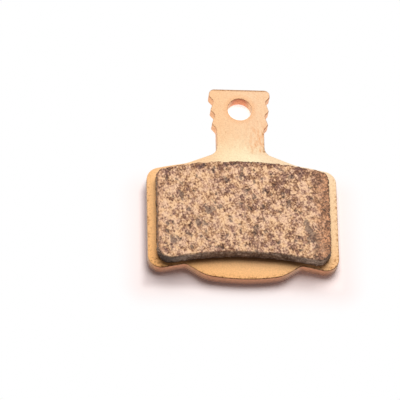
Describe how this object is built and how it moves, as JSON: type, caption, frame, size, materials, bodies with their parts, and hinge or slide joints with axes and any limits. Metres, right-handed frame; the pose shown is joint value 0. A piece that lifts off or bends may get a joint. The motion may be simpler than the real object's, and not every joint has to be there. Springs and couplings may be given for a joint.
{
  "type": "bicycle disc brake pad",
  "caption": "Flat brake pad: a copper-plated steel backing plate with a toothed tab, a pin hole and a rounded belly, carrying a curved sintered friction lining.",
  "frame": {"origin": "axis of the retaining pin hole, in the plane of the backing plate's back (piston) face", "axes": "+Z from the piston face through the plate to the friction face, +Y up the tab away from the lining, +X to the right seen from the friction face"},
  "size_m": [0.031, 0.0347, 0.004],
  "materials": {
    "copper_plated_steel": "matte copper plating with a fine grain",
    "sintered_metal": "ground sintered metal, mottled copper and dark grey"
  },
  "bodies": {
    "root": {"backing_plate": "copper_plated_steel", "friction_lining": "sintered_metal"}
  },
  "joints": []
}
